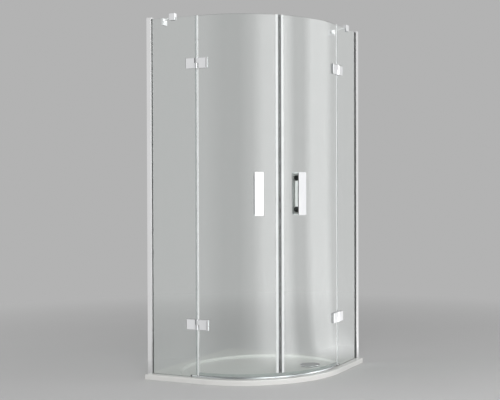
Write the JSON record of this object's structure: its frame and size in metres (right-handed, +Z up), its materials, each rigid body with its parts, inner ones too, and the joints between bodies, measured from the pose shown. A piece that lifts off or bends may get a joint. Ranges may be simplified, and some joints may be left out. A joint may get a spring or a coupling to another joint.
{
  "type": "shower enclosure",
  "caption": "Quadrant corner shower enclosure with slim tray, fixed side panes and curved glass doors on outside pivot hinges.",
  "frame": {"origin": "centre of the square footprint on the floor", "axes": "+Z up; -X faces one room wall and +Y the other; the doors meet on the diagonal towards +X -Y"},
  "size_m": [0.9, 0.9, 1.956],
  "materials": {
    "tray": "smooth white cast stone",
    "clear_glass": "clear toughened glass",
    "bright_aluminium": "bright anodised",
    "satin_aluminium": "satin anodised",
    "chrome": "polished",
    "steel_screws": "stainless",
    "clear_seal": "translucent",
    "grey_rubber": "matt",
    "black_rubber": "matt",
    "nylon": "plain"
  },
  "bodies": {
    "root": {"shower_tray": "tray", "waste_flange": "chrome", "waste_gasket": "black_rubber", "left_wall_profile": "bright_aluminium", "right_wall_profile": "bright_aluminium", "left_glass_profile": "satin_aluminium", "right_glass_profile": "satin_aluminium", "profile_caps": "bright_aluminium", "left_glazing_gasket": "grey_rubber", "right_glazing_gasket": "grey_rubber", "adjusting_screws": "steel_screws", "left_fixed_glass": "clear_glass", "right_fixed_glass": "clear_glass", "base_seals": "clear_seal", "left_hinge_seal": "clear_seal", "right_hinge_seal": "clear_seal", "left_upper_fixed_leaf": "chrome", "left_lower_fixed_leaf": "chrome", "right_upper_fixed_leaf": "chrome", "right_lower_fixed_leaf": "chrome", "fixed_leaf_gaskets": "grey_rubber", "fixed_leaf_screws": "steel_screws", "hinge_pins": "steel_screws", "left_stabiliser_clamp": "chrome", "right_stabiliser_clamp": "chrome", "left_stabiliser_bar": "chrome", "right_stabiliser_bar": "chrome", "left_stabiliser_wall_block": "chrome", "right_stabiliser_wall_block": "chrome", "stabiliser_screws": "steel_screws", "threshold_strip": "chrome", "threshold_end_caps": "black_rubber"},
    "left_door": {"left_door_glass": "clear_glass", "left_magnet_seal": "clear_seal", "left_magnet_strip": "black_rubber", "left_drip_seal": "clear_seal", "left_upper_door_leaf": "chrome", "left_lower_door_leaf": "chrome", "left_hinge_bushes": "nylon", "left_door_leaf_gaskets": "grey_rubber", "left_door_leaf_screws": "steel_screws", "left_outer_handle": "chrome", "left_inner_handle": "chrome", "left_handle_gaskets": "black_rubber", "left_handle_bolts": "steel_screws"},
    "right_door": {"right_door_glass": "clear_glass", "right_magnet_seal": "clear_seal", "right_magnet_strip": "black_rubber", "right_drip_seal": "clear_seal", "right_upper_door_leaf": "chrome", "right_lower_door_leaf": "chrome", "right_hinge_bushes": "nylon", "right_door_leaf_gaskets": "grey_rubber", "right_door_leaf_screws": "steel_screws", "right_outer_handle": "chrome", "right_inner_handle": "chrome", "right_handle_gaskets": "black_rubber", "right_handle_bolts": "steel_screws"},
    "waste_cover": {"waste_cover": "chrome"}
  },
  "joints": [
    {"name": "left_door_swing", "type": "hinge", "parent": "root", "child": "left_door", "pos_m": [-0.142, -0.421, 0.306], "axis": [0, 0, -1], "range_deg": [0, 100]},
    {"name": "right_door_swing", "type": "hinge", "parent": "root", "child": "right_door", "pos_m": [0.421, 0.142, 0.306], "axis": [0, 0, 1], "range_deg": [0, 100]},
    {"name": "waste_cover_lift", "type": "slide", "parent": "root", "child": "waste_cover", "axis": [0, 0, 1], "range_m": [0, 0.06]}
  ]
}
